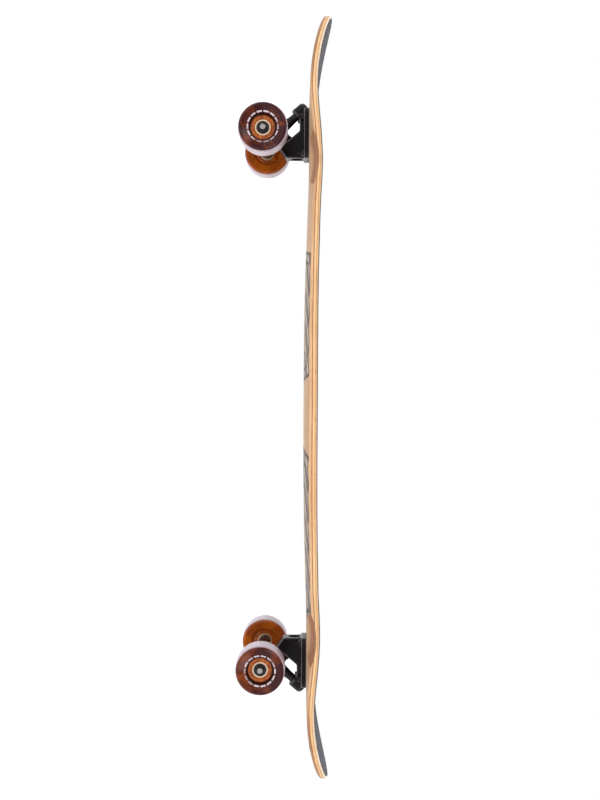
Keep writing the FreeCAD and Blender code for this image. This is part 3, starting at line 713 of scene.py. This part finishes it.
def threadSet(name, thread, places, material, slot, body):
    mesh = bpy.data.meshes.new(name)
    mesh.from_pydata([start for start, way in places], [], [])
    ways = mesh.attributes.new("way", "FLOAT_VECTOR", "POINT")
    for index, (start, way) in enumerate(places):
        ways.data[index].vector = way
    piece = bpy.data.objects.new(name, mesh)
    bpy.context.scene.collection.objects.link(piece)
    ridges = piece.modifiers.new("threads", "NODES")
    ridges.node_group = threadRidges
    items = [item for item in threadRidges.interface.items_tree if item.in_out == "INPUT"]
    sockets = {item.name: item.identifier for item in items}
    ridges[sockets["Radius"]] = thread["radius"]
    ridges[sockets["Turns"]] = thread["length"] / thread["pitch"]
    ridges[sockets["Length"]] = thread["length"]
    ridges[sockets["Ridge"]] = thread["ridge"]
    ridges[sockets["Material"]] = material
    settle(piece)
    seat(piece, slot, body)


threadRidges = threadTree()
floorward = Vector((0, 0, -1))
for end in trucks:
    hangerBody = end + "_hanger_body"
    ring, down, _ = steerLine(end)
    fore = noseward(end)
    softCasting(end + "_base_plate", "board")
    softCasting(end + "_hanger", hangerBody)
    softCup(end)
    for name, shape in bushings.items():
        softBushing(end, name, shape)
    axleX, axleZ = fore * wheelPlace["axleX"], wheelPlace["axleZ"]
    boltSpots = [(fore * boltPattern["x"] + a * boltPattern["halfAlong"], s * boltPattern["halfAcross"])
                 for a in (1, -1) for s in (1, -1)]
    # where a set of nuts or threads begins, at its own distance, and the way it points
    spots = {"kingpin": lambda far: [(ring + down * far, down)],
             "axle": lambda far: [(Vector((axleX, s * far, axleZ)), Vector((0, s, 0))) for s in (1, -1)],
             "deck": lambda far: [(Vector((x, y, far)), floorward) for x, y in boltSpots]}
    nutSpots = {kind: spots[kind](nut["from"]) for kind, nut in nuts.items()}
    threadSpots = {kind: spots[kind](thread["from"]) for kind, thread in threads.items()}
    nutSet(end + "_kingpin_lock_nut", nuts["kingpin"], nutSpots["kingpin"], darkSteel, "dark_steel",
           "board", end + "_kingpin_nut")
    nutSet(end + "_axle_lock_nuts", nuts["axle"], nutSpots["axle"], darkSteel, "steel",
           hangerBody, end + "_axle_nuts")
    nutSet(end + "_deck_lock_nuts", nuts["deck"], nutSpots["deck"], darkSteel, "dark_steel",
           "board", end + "_mounting_nuts")
    threadSet(end + "_deck_bolt_threads", threads["deck"], threadSpots["deck"], darkSteel, "dark_steel",
              "board")
    threadSet(end + "_kingpin_thread", threads["kingpin"], threadSpots["kingpin"], darkSteel, "dark_steel",
              "board")
    threadSet(end + "_axle_threads", threads["axle"], threadSpots["axle"], zinc, "steel", hangerBody)
print("trucks dressed")


# floor, light and camera

# the floor lies a little under the wheels, because a wheel swings below their rest line at full lean
stage = {"floorSize": 40.0, "floorZ": -0.04, "floor": paint(190, 190, 190), "cloud": paint(186, 186, 187),
         "cloudSize": 3, "rough": (0.85, 0.95), "gloss": 0.1, "lift": 0.78,
         "backSky": 1.0, "frontSky": 0.55, "skyTurn": (-0.1, 0.45)}
lampAim = Vector((0, 0, 0.07))
lamps = {"nose": {"place": (1.7, 2.2, 1.5), "size": 1.5, "watts": 23},
         "tail": {"place": (-1.7, 2.2, 1.3), "size": 1.5, "watts": 21},
         "top": {"place": (0.0, -0.3, 2.6), "size": 2.4, "watts": 16}}
# the long side of the picture runs along the board, nose up
shot = {"place": (0.0279, 1.9336, 0.0989), "yaw": 0.3039, "pitch": -0.889, "roll": 0.3231, "lens": 58.21,
        "sensor": 36, "near": 0.05}


def buildFloor():
    mesh = bpy.data.meshes.new("floor")
    half, low = stage["floorSize"] / 2, stage["floorZ"]
    corners = [(-half, -half, low), (half, -half, low), (half, half, low), (-half, half, low)]
    mesh.from_pydata(corners, [], [(0, 1, 2, 3)])
    floor = bpy.data.objects.new("floor", mesh)
    bpy.context.scene.collection.objects.link(floor)
    sockets = {"Specular IOR Level": stage["gloss"], "Emission Color": white,
               "Emission Strength": stage["lift"]}
    material, tree, shader = newFinish("pale floor", sockets)
    cloud = noise(tree, objectPoint(tree), stage["cloudSize"])
    colour = mixed(tree, cloud, stage["floor"], stage["cloud"])
    finishWith(tree, shader, colour, spread(tree, cloud, *noiseSpan, *stage["rough"]))
    mesh.materials.append(material)


def buildLight():
    world = bpy.data.worlds.new("white tent")
    world.use_nodes = True
    tree = world.node_tree
    way = addNode(tree, "ShaderNodeTexCoord").outputs["Generated"]
    towards = partsOf(tree, way)[1]
    strength = spread(tree, towards, *stage["skyTurn"], stage["backSky"], stage["frontSky"], smooth=True)
    seen = addNode(tree, "ShaderNodeLightPath").outputs["Is Camera Ray"]
    strength = calc(tree, "MAXIMUM", strength, seen)  # the tent itself looks plain white
    tree.nodes["Background"].inputs["Color"].default_value = white
    tree.links.new(strength, tree.nodes["Background"].inputs["Strength"])
    bpy.context.scene.world = world
    for name, lamp in lamps.items():
        light = bpy.data.lights.new(name + " softbox", "AREA")
        light.size = lamp["size"]
        light.energy = lamp["watts"]
        box = bpy.data.objects.new(name + " softbox", light)
        bpy.context.scene.collection.objects.link(box)
        box.location = lamp["place"]
        box.rotation_euler = (lampAim - box.location).to_track_quat("-Z", "Y").to_euler()


def buildCamera():
    camera = bpy.data.cameras.new("camera")
    camera.lens = shot["lens"]
    camera.sensor_width = shot["sensor"]
    camera.clip_start = shot["near"]
    body = bpy.data.objects.new("camera", camera)
    bpy.context.scene.collection.objects.link(body)
    # the picture's right is up off the floor, and its top is towards the nose
    level = Matrix(((0, 1, 0), (0, 0, 1), (1, 0, 0))).to_4x4()
    yaw = Matrix.Rotation(math.radians(shot["yaw"]), 4, "Y")
    pitch = Matrix.Rotation(math.radians(shot["pitch"]), 4, "X")
    roll = Matrix.Rotation(math.radians(shot["roll"]), 4, "Z")
    body.matrix_world = Matrix.Translation(shot["place"]) @ level @ yaw @ pitch @ roll
    bpy.context.scene.camera = body


buildFloor()
buildLight()
buildCamera()
bpy.context.scene.view_settings.view_transform = "Standard"
print("stage set")
